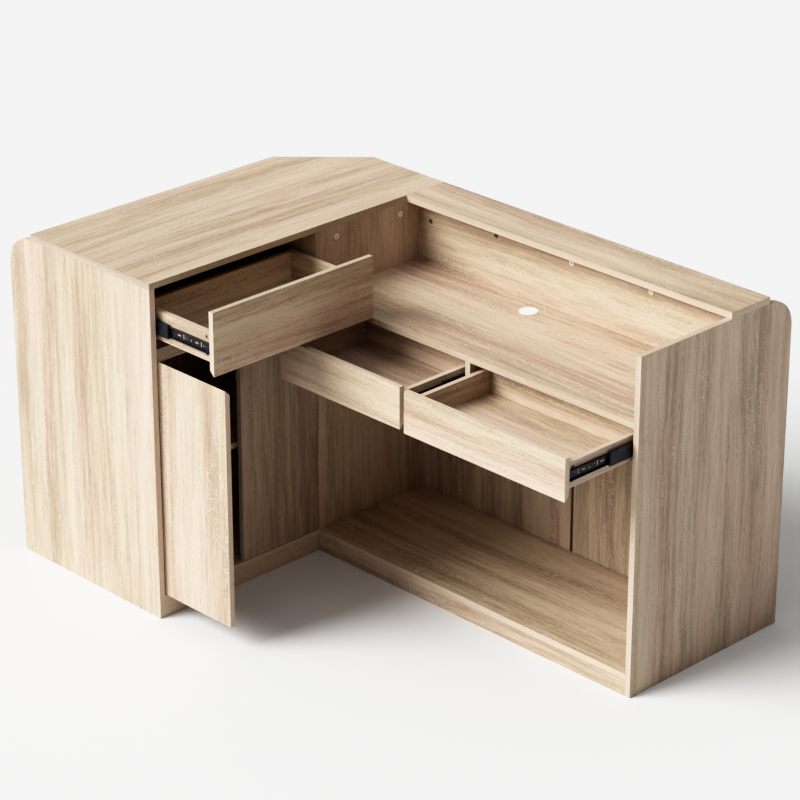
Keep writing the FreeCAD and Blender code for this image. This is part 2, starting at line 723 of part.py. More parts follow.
def hinge_cup(name, frame, side, z):
    """A cup with its flange and the pin that the arm turns on."""
    centre_y = CUP_FROM_HINGE * side
    out = Vector(1, 0, 0)
    shell = rod(f"{name}_shell", (DOOR_INNER, centre_y, z), S.cup_radius, S.cup_depth, out, frame)
    far_edge = S.cup_radius - FLANGE_SINK
    low_y = centre_y - far_edge if side > 0 else centre_y + far_edge - FLANGE_WIDTH
    flange = box(f"{name}_flange", (DOOR_INNER - CUP_WALL, low_y, z - FLANGE_HEIGHT / 2),
                 (CUP_WALL, FLANGE_WIDTH, FLANGE_HEIGHT), frame)
    outer = doc.addObject("Part::Fuse", f"{name}_outer")
    outer.Base, outer.Tool = shell, flange
    hollow = rod(f"{name}_hollow", (DOOR_INNER - CUP_WALL, centre_y, z), S.cup_radius - CUP_WALL,
                 S.cup_depth, out, frame)
    cup = doc.addObject("Part::Cut", f"{name}_cup")
    cup.Base, cup.Tool = outer, hollow
    pin = rod(f"{name}_pin", (0, 0, z - PIN_LENGTH / 2), S.hinge_pin_radius, PIN_LENGTH, frame=frame)
    whole = doc.addObject("Part::Fuse", f"{name}_whole")
    whole.Base, whole.Tool = cup, pin
    return whole


ARM_HEIGHT = 10
ARM_BAR = 3              # the arm's strip thickness
ARM_RISE = 10            # from the pin to the near side of the crossing strip
ARM_BACK = 14            # from the pin to the strip that comes down to the wall
PLATE_LENGTH = 44
PLATE_HEIGHT = 24
PLATE_THICKNESS = 2


def hinge_arm(name, frame, side, z):
    """A cranked arm: an eye on the pin, a hook round the door's edge and a plate on the wall."""
    low = z - ARM_HEIGHT / 2
    top = ARM_RISE + ARM_BAR
    wall = HINGE_OFF_WALL

    def strip(kind, x0, y0, x1, y1, base=low, height=ARM_HEIGHT):
        y0, y1 = (length(v) for v in ((y0, y1) if side > 0 else (-length(y1), -length(y0))))
        return box(f"{name}_{kind}", (x0, y0, base), (x1 - x0, y1 - y0, height), frame)

    eye = rod(f"{name}_eye", (0, 0, low), ARM_BAR, ARM_HEIGHT, frame=frame)
    pieces = [
        eye,
        strip("riser", -ARM_BAR / 2, 0, ARM_BAR / 2, top),
        strip("cross", -ARM_BACK - ARM_BAR, ARM_RISE, ARM_BAR / 2, top),
        strip("return", -ARM_BACK - ARM_BAR, -wall, -ARM_BACK, top),
        strip("plate", -ARM_BACK - PLATE_LENGTH, -wall, -ARM_BACK, PLATE_THICKNESS - wall,
              z - PLATE_HEIGHT / 2, PLATE_HEIGHT),
    ]
    solid = doc.addObject("Part::MultiFuse", f"{name}_solid")
    solid.Shapes = pieces
    bore = rod(f"{name}_bore", (0, 0, low), S.hinge_pin_radius + S.hinge_pin_clearance, ARM_HEIGHT,
               frame=frame)
    arm = doc.addObject("Part::Cut", f"{name}_arm")
    arm.Base, arm.Tool = solid, bore
    return arm


def doors():
    door("left_door", LEFT_HINGE, 1)
    door("right_door", RIGHT_HINGE, -1)
    for label, frame, side in (("left_door", LEFT_HINGE, 1), ("right_door", RIGHT_HINGE, -1)):
        cups = [hinge_cup(f"{label}_hinge_{i}", frame, side, z) for i, z in enumerate(HINGE_ZS)]
        group(f"{label}_hinge_cups", cups)
    arms = []
    for name, frame, side in (("left", LEFT_HINGE_FIXED, 1), ("right", RIGHT_HINGE, -1)):
        arms += [hinge_arm(f"{name}_arm_{i}", frame, side, z) for i, z in enumerate(HINGE_ZS)]
    group("hinge_arms", arms)


def write_parts():
    """Check every object and export each sub-part under its own label."""
    doc.recompute()
    for thing in doc.Objects:
        if {"Invalid", "Error"} & set(thing.State):
            raise RuntimeError(f"{thing.Name} failed: {thing.State}")
    os.makedirs("parts", exist_ok=True)
    for node in nodes:
        shape = node.Shape
        if shape.isNull() or not shape.isValid():
            raise RuntimeError(f"{node.Label} has no valid shape")
        shape.exportStep(os.path.join("parts", f"{node.Label}.step"))
    print(len(nodes), "sub-parts,", sum(len(node.Shape.Solids) for node in nodes), "solids")


end_panels()
counter_tops()
desk_surface()
facade()
inner_boards()
foot_platform()
wing_cabinet()
drawer_walls()
cable_grommet()
cam_fittings()
drawers()
doors()
write_parts()
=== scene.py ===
"""Looks of the L-shaped reception desk: light oak laminate, black slides, plain studio light."""
import json
import math
import zlib

import bmesh
import bpy
from mathutils import Matrix, Vector


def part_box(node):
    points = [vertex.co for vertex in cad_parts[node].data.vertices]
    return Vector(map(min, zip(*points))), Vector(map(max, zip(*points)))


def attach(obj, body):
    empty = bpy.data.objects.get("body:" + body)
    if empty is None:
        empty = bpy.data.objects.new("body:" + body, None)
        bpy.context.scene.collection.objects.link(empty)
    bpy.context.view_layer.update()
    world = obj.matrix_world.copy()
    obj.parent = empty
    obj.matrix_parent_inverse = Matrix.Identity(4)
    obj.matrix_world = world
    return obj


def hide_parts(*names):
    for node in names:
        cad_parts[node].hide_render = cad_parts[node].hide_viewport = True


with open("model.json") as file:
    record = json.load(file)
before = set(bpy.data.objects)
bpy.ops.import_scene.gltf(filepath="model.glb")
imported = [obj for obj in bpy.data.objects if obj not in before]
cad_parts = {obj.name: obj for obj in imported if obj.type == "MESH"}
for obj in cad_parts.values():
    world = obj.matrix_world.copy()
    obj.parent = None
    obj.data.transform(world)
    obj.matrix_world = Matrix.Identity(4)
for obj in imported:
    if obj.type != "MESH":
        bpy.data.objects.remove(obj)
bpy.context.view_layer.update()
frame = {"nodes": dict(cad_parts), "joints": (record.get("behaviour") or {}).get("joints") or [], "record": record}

X, Y, Z = Vector((1, 0, 0)), Vector((0, 1, 0)), Vector((0, 0, 1))
DRAWERS = ("wing_drawer", "left_drawer", "right_drawer")


# ---- Node graphs ------------------------------------------------------------------------------

class Graph:
    """A node tree with short ways to add and join nodes. Values may be sockets or plain numbers."""

    def __init__(self, tree):
        self.tree = tree

    def node(self, kind, **properties):
        made = self.tree.nodes.new(kind)
        for name, value in properties.items():
            setattr(made, name, value)
        return made

    def feed(self, socket, value):
        if isinstance(value, bpy.types.NodeSocket):
            self.tree.links.new(value, socket)
        else:
            socket.default_value = value

    def math(self, operation, *values):
        made = self.node("ShaderNodeMath", operation=operation)
        for socket, value in zip(made.inputs, values):
            self.feed(socket, value)
        return made.outputs[0]

    def dot(self, a, b):
        made = self.node("ShaderNodeVectorMath", operation="DOT_PRODUCT")
        self.feed(made.inputs[0], a)
        self.feed(made.inputs[1], b)
        return made.outputs["Value"]

    def vector(self, x, y, z):
        made = self.node("ShaderNodeCombineXYZ")
        for socket, value in zip(made.inputs, (x, y, z)):
            self.feed(socket, value)
        return made.outputs[0]

    def noise(self, where, scale, detail, roughness=0.5):
        made = self.node("ShaderNodeTexNoise", noise_dimensions="3D")
        self.feed(made.inputs["Vector"], where)
        made.inputs["Scale"].default_value = scale
        made.inputs["Detail"].default_value = detail
        made.inputs["Roughness"].default_value = roughness
        return made.outputs["Fac"]

    def between(self, value, low, high, to_low=0.0, to_high=1.0):
        """A smooth step from one number to another while a value goes from low to high."""
        made = self.node("ShaderNodeMapRange", interpolation_type="SMOOTHSTEP")
        for socket, number in zip(made.inputs, (value, low, high, to_low, to_high)):
            self.feed(socket, number)
        return made.outputs[0]

    def ramp(self, factor, stops):
        made = self.node("ShaderNodeValToRGB")
        points = made.color_ramp.elements
        while len(points) < len(stops):
            points.new(0.5)
        for point, (position, colour) in zip(points, stops):
            point.position = position
            point.color = (*colour, 1)
        self.feed(made.inputs[0], factor)
        return made.outputs[0]

    def mix(self, factor, a, b, blend="MIX"):
        made = self.node("ShaderNodeMix", data_type="RGBA", blend_type=blend)
        self.feed(made.inputs["Factor"], factor)
        self.feed(made.inputs[6], a)
        self.feed(made.inputs[7], b)
        return made.outputs[2]

    def scaled(self, colour, value):
        """A colour made lighter or darker by a number."""
        made = self.node("ShaderNodeVectorMath", operation="SCALE")
        self.feed(made.inputs[0], colour)
        self.feed(made.inputs["Scale"], value)
        return made.outputs[0]

    def bump(self, height, strength, distance, edge_radius=0.0):
        """A normal for a relief, and for rounded edges where a radius is given."""
        made = self.node("ShaderNodeBump")
        made.inputs["Strength"].default_value = strength
        made.inputs["Distance"].default_value = distance
        self.feed(made.inputs["Height"], height)
        if edge_radius:
            rounded = self.node("ShaderNodeBevel", samples=6)
            rounded.inputs["Radius"].default_value = edge_radius
            self.feed(made.inputs["Normal"], rounded.outputs[0])
        return made.outputs[0]


def new_material(name, **constants):
    """A material with one Principled shader, and the graph to build its inputs with."""
    material = bpy.data.materials.new(name)
    material.use_nodes = True
    graph = Graph(material.node_tree)
    material.node_tree.nodes.clear()
    shader = graph.node("ShaderNodeBsdfPrincipled")
    output = graph.node("ShaderNodeOutputMaterial")
    graph.tree.links.new(shader.outputs[0], output.inputs["Surface"])
    for socket, value in constants.items():
        shader.inputs[socket.replace("_", " ")].default_value = value
    return material, graph, shader


def object_place(graph):
    """A point's place and its normal, both in the object's own axes."""
    coordinates = graph.node("ShaderNodeTexCoord")
    return coordinates.outputs["Object"], coordinates.outputs["Normal"]


# ---- The oak print ----------------------------------------------------------------------------

OAK_STOPS = [
    (0.00, (0.320, 0.237, 0.173)),
    (0.35, (0.452, 0.342, 0.255)),
    (0.60, (0.535, 0.413, 0.313)),
    (1.00, (0.625, 0.500, 0.391)),
]
RAY_FLECK = (0.640, 0.521, 0.419)
GREEN_CAST = (0.970, 1.000, 0.950)
PINK_CAST = (1.018, 0.986, 0.990)

# The print's noise layers: scale along the grain, scale across it, detail and roughness.
GRAIN_LAYERS = {
    "sweep": (0.9, 2.6, 1, 0.5),
    "wobble": (7, 18, 2, 0.5),
    "bands": (0.7, 12, 1, 0.5),
    "streaks": (2.6, 62, 3, 0.6),
    "lines": (11, 250, 3, 0.65),
    "fibres": (60, 900, 2, 0.6),
    "pores": (55, 560, 1, 0.5),
    "cast": (0.9, 9, 2, 0.6),
    "rays": (210, 85, 1, 0.5),
    "ray_columns": (1.4, 24, 1, 0.5),
    "ray_patches": (9, 40, 1, 0.5),
}
GRAIN_SWINGS = {"sweep": 0.050, "wobble": 0.007}      # how far these layers bend all but the rays
THROUGH_SCALE = 40                                    # scale of every layer through the board
TONE_SHARES = {"bands": 0.30, "streaks": 0.26, "lines": 0.25, "fibres": 0.19}
TONE_RANGE = (0.36, 0.63)
CAST_RANGE = (0.38, 0.62)
RAY_RANGES = {"rays": (0.52, 0.60), "ray_columns": (0.54, 0.60), "ray_patches": (0.42, 0.52)}
FLECK_STRENGTH = 0.60
PORE_RANGE = (0.58, 0.68)
PORE_STREAKS = (0.60, 0.44)                           # pores lie in the darker streaks
PORE_DARKNESS = 0.22
LINE_RELIEF, PORE_RELIEF = 0.4, 0.6


def grain_layers(g, place):
    """The print's layers by name, from a place along the grain, across it and through the board."""
    parts = g.node("ShaderNodeSeparateXYZ")
    g.feed(parts.inputs[0], place)
    along, across, depth = parts.outputs
    through = g.math("MULTIPLY", depth, THROUGH_SCALE)

    def layer(name, side):
        along_scale, across_scale, detail, roughness = GRAIN_LAYERS[name]
        where = g.vector(g.math("MULTIPLY", along, along_scale),
                         g.math("MULTIPLY", side, across_scale), through)
        return g.noise(where, 1.0, detail, roughness)

    bent = across
    for name, size in GRAIN_SWINGS.items():
        swing = g.math("MULTIPLY", g.math("SUBTRACT", layer(name, across), 0.5), size)
        bent = g.math("ADD", bent, swing)
    names = [name for name in GRAIN_LAYERS if name not in GRAIN_SWINGS]
    return {name: layer(name, across if name == "rays" else bent) for name in names}


def grain_group():
    """Printed oak as a node group: a place goes in, a colour and a height come out."""
    tree = bpy.data.node_groups.new("oak_grain", "ShaderNodeTree")
    tree.interface.new_socket("Place", in_out="INPUT", socket_type="NodeSocketVector")
    tree.interface.new_socket("Colour", in_out="OUTPUT", socket_type="NodeSocketColor")
    tree.interface.new_socket("Height", in_out="OUTPUT", socket_type="NodeSocketFloat")
    g = Graph(tree)
    layers = grain_layers(g, g.node("NodeGroupInput").outputs[0])

    tone = 0.0
    for name, share in TONE_SHARES.items():
        tone = g.math("ADD", tone, g.math("MULTIPLY", layers[name], share))
    colour = g.ramp(g.between(tone, *TONE_RANGE), OAK_STOPS)
    hue = g.mix(g.between(layers["cast"], *CAST_RANGE), (*PINK_CAST, 1), (*GREEN_CAST, 1))
    colour = g.mix(1.0, colour, hue, "MULTIPLY")

    flecks = FLECK_STRENGTH
    for name, limits in RAY_RANGES.items():
        flecks = g.math("MULTIPLY", flecks, g.between(layers[name], *limits))
    colour = g.mix(flecks, colour, (*RAY_FLECK, 1))

    dark_streaks = g.between(layers["streaks"], *PORE_STREAKS)
    pores = g.math("MULTIPLY", g.between(layers["pores"], *PORE_RANGE), dark_streaks)
    light = g.math("SUBTRACT", 1.0, g.math("MULTIPLY", pores, PORE_DARKNESS))
    height = g.math("SUBTRACT", g.math("MULTIPLY", layers["lines"], LINE_RELIEF),
                    g.math("MULTIPLY", pores, PORE_RELIEF))
    result = g.node("NodeGroupOutput")
    g.feed(result.inputs[0], g.scaled(colour, light))
    g.feed(result.inputs[1], height)
    return tree


# ---- Boards -----------------------------------------------------------------------------------

GRAIN = grain_group()
# The dark line along each face's edges is partly a glue line and partly painted shade where boards meet.
GLUE_AND_SEAM_SHADE_LINE = 0.0011          # width of the dark line where a face meets its edge band
GLUE_AND_SEAM_SHADE_DARKNESS = 0.76
EDGE_RADIUS = 0.0014        # every board's edges are broken by a small round
BAND_TONE = (0.590, 0.476, 0.377, 1)
BAND_EVENNESS = 0.55        # how far the edge banding keeps to its own tone, over the printed grain
# Painted shade: these boards are darkened where shadow falls on them; they are the same laminate as the rest.
BOARD_PAINTED_SHADE = {"right_door": 0.77, "drawer_deck": 0.85, "corner_panel": 0.92,
               "left_drawer_left_side": 0.80, "left_drawer_bottom": 0.90}
# Painted shade: the wing top's edge banding is darkened where it lies in shadow.
BAND_PAINTED_SHADE = {"wing_top": 0.80}
ON_FACE = (0.80, 0.90)      # how squarely a surface looks along the thickness to count as a face
ON_END = (0.60, 0.80)       # the same along the grain, to count as an end
SEEDS = 997                 # boards take their stretch of the print from this many
SEED_ALONG, SEED_ACROSS = 0.37, 0.11      # from one stretch to the next
LAMINATE_RELIEF = (-0.3, 0.4)             # the print's heights, rough in the pores
LAMINATE_ROUGHNESS = (0.62, 0.46)
RELIEF_STRENGTH, RELIEF_DEPTH = 0.35, 0.0004


def looks_along(g, normal, axis, limits):
    """One where a surface looks along an axis, and zero where it doesn't."""
    return g.between(g.math("ABSOLUTE", g.dot(normal, axis)), *limits)


def board_print(g, name, run, side, depth, on_end):
    """The print's colour and height on a board, from a stretch of the print of its own."""
    seed = zlib.crc32(name.encode()) % SEEDS
    # On the ends the banding's grain follows the edge, so the two directions change places.
    turned_run = g.math("ADD", run, g.math("MULTIPLY", on_end, g.math("SUBTRACT", side, run)))
    turned_side = g.math("MULTIPLY", side, g.math("SUBTRACT", 1.0, on_end))
    printed = g.node("ShaderNodeGroup", node_tree=GRAIN)
    across = g.math("ADD", g.math("ADD", turned_side, depth), seed * SEED_ACROSS)
    g.feed(printed.inputs[0], g.vector(g.math("ADD", turned_run, seed * SEED_ALONG), across, depth))
    return printed.outputs


def to_nearer_end(g, here, axis, low, high):
    """How far a place is from the nearer end of a board, along one axis."""
    start, end = sorted((low.dot(axis), high.dot(axis)))
    return g.math("MINIMUM", g.math("SUBTRACT", here, start), g.math("SUBTRACT", end, here))


def oak(name, grain, thickness, low, high):
    """Laminate for one board: grain along its faces, and along the banding on its edges."""
    material, g, shader = new_material(f"oak_{name}", IOR=1.46)
    place, normal = object_place(g)
    across = thickness.cross(grain)
    run, side, depth = (g.dot(place, axis) for axis in (grain, across, thickness))
    on_end = looks_along(g, normal, grain, ON_END)
    colour, height = board_print(g, name, run, side, depth, on_end)

    # Painted shade: a board that stands in shadow is painted darker, on its faces and on its banding.
    shade = BOARD_PAINTED_SHADE.get(name, 1.0)
    from_edge = g.math("MINIMUM", to_nearer_end(g, run, grain, low, high),
                       to_nearer_end(g, side, across, low, high))
    # Partly a glue line, partly painted shade in the seams: faces darken within about a millimetre of their edges.
    rim = g.between(from_edge, 0.2 * GLUE_AND_SEAM_SHADE_LINE, GLUE_AND_SEAM_SHADE_LINE, GLUE_AND_SEAM_SHADE_DARKNESS * shade, shade)
    # The banding takes the board's painted shade, and more of it on the wing top.
    band = g.scaled(g.mix(BAND_EVENNESS, colour, BAND_TONE), shade * BAND_PAINTED_SHADE.get(name, 1.0))
    on_face = looks_along(g, normal, thickness, ON_FACE)
    g.feed(shader.inputs["Base Color"], g.mix(on_face, band, g.scaled(colour, rim)))
    g.feed(shader.inputs["Roughness"], g.between(height, *LAMINATE_RELIEF, *LAMINATE_ROUGHNESS))
    g.feed(shader.inputs["Normal"], g.bump(height, RELIEF_STRENGTH, RELIEF_DEPTH, EDGE_RADIUS))
    return material


def board_axes(node):
    """A board's grain and thickness directions: its longest and its shortest side."""
    if node == "facade_corner_board":          # it stands at 45 degrees to the other boards
        return Z, Vector((-1, 1, 0)).normalized()
    low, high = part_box(node)
    sizes = list(high - low)
    axes = (X, Y, Z)
    return axes[sizes.index(max(sizes))], axes[sizes.index(min(sizes))]


# ---- Metal and plastic ------------------------------------------------------------------------

GLOSS_SPREAD = 0.07         # how far the roughness varies to either side
GRIT_FINENESS = 14          # the surface texture, as against the clouds of colour
GRIT_DEPTH = 0.0002


def speckled(name, dark, light, scale, roughness, bump, **constants):
    """A fine-grained surface between two colours, with uneven gloss and a slight texture."""
    material, g, shader = new_material(name, **constants)
    place, _ = object_place(g)
    cloud = g.noise(place, scale, 4, 0.6)
    grit = g.noise(place, scale * GRIT_FINENESS, 2)
    clouds = (cloud, 0.3, 0.7)
    g.feed(shader.inputs["Base Color"], g.mix(g.between(*clouds), (*dark, 1), (*light, 1)))
    gloss = g.between(*clouds, roughness - GLOSS_SPREAD, roughness + GLOSS_SPREAD)
    g.feed(shader.inputs["Roughness"], gloss)
    g.feed(shader.inputs["Normal"], g.bump(grit, bump, GRIT_DEPTH))
    return material


def black_steel():
    dark, light = (0.018, 0.020, 0.024), (0.040, 0.043, 0.050)
    return speckled("black_steel", dark, light, 60, 0.36, 0.15, Metallic=0.75)


def black_plastic():
    return speckled("black_plastic", (0.010, 0.011, 0.013), (0.020, 0.021, 0.024), 90, 0.45, 0.25)


def nickel():
    return speckled("nickel", (0.52, 0.51, 0.49), (0.66, 0.65, 0.62), 70, 0.28, 0.10, Metallic=1.0)


def zinc():
    return speckled("zinc", (0.30, 0.30, 0.31), (0.44, 0.44, 0.45), 120, 0.42, 0.30, Metallic=0.9)


def white_plastic():
    return speckled("white_plastic", (0.84, 0.83, 0.80), (0.89, 0.885, 0.87), 40, 0.38, 0.12, IOR=1.48)


def cream_plastic():
    return speckled("cream_plastic", (0.80, 0.73, 0.62), (0.86, 0.80, 0.70), 60, 0.42, 0.12, IOR=1.48)


def dark_strip():
    return speckled("dark_strip", (0.052, 0.038, 0.020), (0.080, 0.059, 0.034), 50, 0.55, 0.20)


def shaded_cam_metal():
    """Cast metal painted dark: painted shade of the holes the cams sit in."""
    dark, light = (0.085, 0.074, 0.066), (0.150, 0.135, 0.125)
    return speckled("shaded_cam_metal", dark, light, 120, 0.50, 0.30, Metallic=0.55)


def painted_recess_shade():
    """Painted shade: a dark sheet that stands for the shadowed inside of a cross recess."""
    return speckled("painted_recess_shade", (0.012, 0.012, 0.013), (0.020, 0.020, 0.022), 90, 0.6, 0.1)


# ---- Mesh pieces ------------------------------------------------------------------------------

def piece(name, mesh, material, body, at=Matrix.Identity(4)):
    """A finished mesh as an object that rides on a CAD body."""
    data = bpy.data.meshes.new(name)
    mesh.transform(at)
    bmesh.ops.recalc_face_normals(mesh, faces=mesh.faces)
    mesh.to_mesh(data)
    mesh.free()
    data.materials.append(material)
    made = bpy.data.objects.new(name, data)
    bpy.context.scene.collection.objects.link(made)
    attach(made, body)
    return made


def lathe(profile, segments):
    """A smooth solid of revolution about Z from (radius, height) points, from axis to axis."""
    mesh = bmesh.new()
    rings = []
    for radius, height in profile:
        if radius == 0:
            rings.append([mesh.verts.new((0, 0, height))])
            continue
        ring = []
        for i in range(segments):
            angle = 2 * math.pi * i / segments
            ring.append(mesh.verts.new((radius * math.cos(angle), radius * math.sin(angle), height)))
        rings.append(ring)
    for lower, upper in zip(rings, rings[1:]):
        for i in range(segments):
            j = (i + 1) % segments
            corners = [lower[i % len(lower)], lower[j % len(lower)],
                       upper[j % len(upper)], upper[i % len(upper)]]
            unique = list(dict.fromkeys(corners))      # a ring on the axis is one point
            if len(unique) > 2:
                mesh.faces.new(unique).smooth = True
    return mesh


def outlined(outline, radius, height, segments):
    """A solid of revolution from an outline given as shares of a radius and a height."""
    return lathe([(radius * out, height * up) for out, up in outline], segments)


def soft_block(size, radius, segments=3):
    """A block with rounded edges, centred on the origin."""
    mesh = bmesh.new()
    bmesh.ops.create_cube(mesh, size=1)
    bmesh.ops.scale(mesh, vec=size, verts=mesh.verts)
    bmesh.ops.bevel(mesh, geom=mesh.edges[:], offset=radius, segments=segments, profile=0.5, affect="EDGES")
    return mesh


def merged(meshes):
    """Several meshes as one."""
    whole = bmesh.new()
    for mesh in meshes:
        data = bpy.data.meshes.new("part")
        mesh.to_mesh(data)
        mesh.free()
        whole.from_mesh(data)
        bpy.data.meshes.remove(data)
    return whole


def facing(direction):
    """A turn that takes +Z to a direction."""
    return direction.to_track_quat("Z", "Y").to_matrix().to_4x4()


# A pan head's outline, and its cross recess, as shares of the head's radius and height.
PAN_OUTLINE = ((0, 0), (1, 0), (1, 0.35), (0.86, 0.8), (0.55, 1), (0, 1))
PAN_SEGMENTS = 24
PAN_CROSS_LENGTH, PAN_CROSS_WIDTH = 1.15, 0.24
PAN_CROSS_HEIGHT, PAN_CROSS_ROUND, PAN_CROSS_LEVEL = 0.10, 0.02, 0.98


def screw_head(radius, height):
    """A pan head with a cross recess, its seat at the origin."""
    cross = []
    for angle in (0, math.pi / 2):
        size = (radius * PAN_CROSS_LENGTH, radius * PAN_CROSS_WIDTH, height * PAN_CROSS_HEIGHT)
        bar = soft_block(size, height * PAN_CROSS_ROUND, 1)
        level = Matrix.Translation((0, 0, height * PAN_CROSS_LEVEL))
        bar.transform(level @ Matrix.Rotation(angle, 4, "Z"))
        cross.append(bar)
    return outlined(PAN_OUTLINE, radius, height, PAN_SEGMENTS), merged(cross)


def screws(name, places, head_size, body):
    """Zinc screw heads at (point, direction) places, each with a dark cross of painted shade for its recess."""
    heads, crosses = [], []
    for point, direction in places:
        head, cross = screw_head(*head_size)
        turn = Matrix.Translation(point) @ facing(direction)
        head.transform(turn)
        cross.transform(turn)
        heads.append(head)
        crosses.append(cross)
    piece(f"{name}_heads", merged(heads), ZINC, body)
    piece(f"{name}_recesses", merged(crosses), RECESS_SHADE, body)


# ---- Materials on the CAD nodes ---------------------------------------------------------------

STEEL, PLASTIC, NICKEL, ZINC = black_steel(), black_plastic(), nickel(), zinc()
WHITE, CREAM, STRIP, CAST = white_plastic(), cream_plastic(), dark_strip(), shaded_cam_metal()
RECESS_SHADE = painted_recess_shade()
BY_SLOT = {"black_steel": STEEL, "nickel_steel": NICKEL, "zinc": ZINC, "white_plastic": WHITE,
           "joint_strip": STRIP}
# Painted shade: the cams are painted dark for the holes they sit in.
CAST_NODES = ["cam_housings"] + [f"{drawer}_cams" for drawer in DRAWERS]


def paint(node, material):
    """Give a CAD node one material."""
    mesh = frame["nodes"][node].data
    mesh.materials.clear()
    mesh.materials.append(material)


def paint_nodes():
    for part in frame["record"]["subparts"]:
        node, slot = part["node"], part["material_slot"]
        if slot in BY_SLOT:
            paint(node, BY_SLOT[slot])
            continue
        low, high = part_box(node)
        grain, thickness = board_axes(node)
        paint(node, oak(node, grain, thickness, low, high))
    paint("cam_caps", CREAM)
    for node in CAST_NODES:
        paint(node, CAST)


# ---- Slides and cams --------------------------------------------------------------------------

# A slide's plastic end stop, as blocks: how far behind its front end, length, thickness, height and
# level. The body, a thicker collar, and two ribs on its outer face.
BUMPER_BLOCKS = (
    (0.0085, 0.0180, 0.0058, 0.0365, 0.0),
    (0.0030, 0.0050, 0.0072, 0.0372, 0.0),
    (0.0110, 0.0090, 0.0070, 0.0040, 0.0095),
    (0.0110, 0.0090, 0.0070, 0.0040, -0.0095),
)
BUMPER_ROUND = 0.0008
BUMPER_MIDDLE = 0.0042               # the blocks' middle, from the member's side nearer the wall
RUNNER_SCREW = (0.0032, 0.0016)      # radius and height of a head
RUNNER_SCREWS_BEHIND = (0.082, 0.222)
RUNNER_DEPTH, RUNNER_STEEL = 0.007, 0.0012
CAM_CROSS_TURN = 0.6
CAM_CROSS_LENGTH, CAM_CROSS_WIDTH = 1.2, 0.22       # shares of the cam's radius
CAM_CROSS_HEIGHT, CAM_CROSS_ROUND = 0.0003, 0.0001


def drawer_direction(drawer):
    """The way a drawer opens."""
    joint = next(j for j in frame["joints"] if j["name"] == f"{drawer}_slide")
    return Vector(joint["axis"])


def slide_pair(node, out):
    """A pair of slide members: each one's outer plane and inward way, their front, and the way across."""
    low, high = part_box(node)
    across = Z.cross(out)
    near, far = sorted((low.dot(across), high.dot(across)))
    front = out * max(low.dot(out), high.dot(out)) + Z * ((low.z + high.z) / 2)
    return ((near, 1), (far, -1)), front, across


def slide_bumpers(drawer):
    """Plastic end stops on the front ends of a drawer's middle slide members."""
    out = drawer_direction(drawer)
    spin = Matrix.Rotation(math.atan2(out.y, out.x), 4, "Z")
    members, front, across = slide_pair(f"{drawer}_slide_middles", out)
    blocks = []
    for plane, inward in members:
        for behind, length, thickness, height, level in BUMPER_BLOCKS:
            block = soft_block((length, thickness, height), BUMPER_ROUND)
            centre = front - out * behind + across * (plane + inward * BUMPER_MIDDLE) + Z * level
            block.transform(Matrix.Translation(centre) @ spin)
            blocks.append(block)
    piece(f"{drawer}_slide_bumpers", merged(blocks), PLASTIC, f"{drawer}_middles")


def runner_screws(drawer):
    """Pan-head screws through a drawer's runners into its sides."""
    out = drawer_direction(drawer)
    members, front, across = slide_pair(f"{drawer}_runners", out)
    places = []
    for plane, inward in members:
        web = plane + inward * (RUNNER_DEPTH - RUNNER_STEEL)
        for behind in RUNNER_SCREWS_BEHIND:
            places.append((front - out * behind + across * web, across * -inward))
    screws(f"{drawer}_runner_screws", places, RUNNER_SCREW, drawer)


def cam_recess_shades(drawer):
    """Painted shade: thin dark crosses on the cams of a drawer's sides, for their cross recesses."""
    out = drawer_direction(drawer)
    low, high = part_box(f"{drawer}_cams")
    across = Z.cross(out)
    near, far = sorted((low.dot(across), high.dot(across)))
    along = (low.dot(out) + high.dot(out)) / 2
    radius = abs(high.dot(out) - low.dot(out)) / 2
    size = (radius * CAM_CROSS_LENGTH, radius * CAM_CROSS_WIDTH, CAM_CROSS_HEIGHT)
    crosses = []
    for plane, outward in ((near, -1), (far, 1)):
        for height in (low.z + radius, high.z - radius):
            centre = Matrix.Translation(out * along + across * plane + Z * height)
            for angle in (CAM_CROSS_TURN, CAM_CROSS_TURN + math.pi / 2):
                bar = soft_block(size, CAM_CROSS_ROUND, 1)
                bar.transform(centre @ facing(across * outward) @ Matrix.Rotation(angle, 4, "Z"))
                crosses.append(bar)
    piece(f"{drawer}_cam_recess_shades", merged(crosses), RECESS_SHADE, drawer)


# ---- Hinges and grommet -----------------------------------------------------------------------

# Each door at rest: the way its hinge cups face, and the way to its hinged edge.
HINGED = {"left_door": (Y, -X), "right_door": (-X, Y)}
HINGE_SCREW = (0.0032, 0.0012)       # radius and height of a head
HALF_FLANGE = 0.026                  # half the height of a cup's flange
FLANGE_MIDDLE = 0.015                # from the cup's rim on the side of the door's hinged edge
FLANGE_SCREW = 0.0217                # screws above and below a cup's middle
HALF_PLATE = 0.012                   # half the height of a wall plate
PLATE_MIDDLE = 0.022                 # from the plate's back end
PLATE_THICKNESS = 0.002
PLATE_SCREW = 0.0078                 # screws above and below a plate's middle
# The pressed body on a plate and its adjuster, as blocks: size, rounding, how far the middle lies
# behind the plate's middle and off its face.
PRESSED_BLOCKS = (
    ((0.040, 0.0085, 0.0086), 0.0014, 0.0, 0.00425),
    ((0.012, 0.0016, 0.0066), 0.0004, 0.008, 0.0092),
)


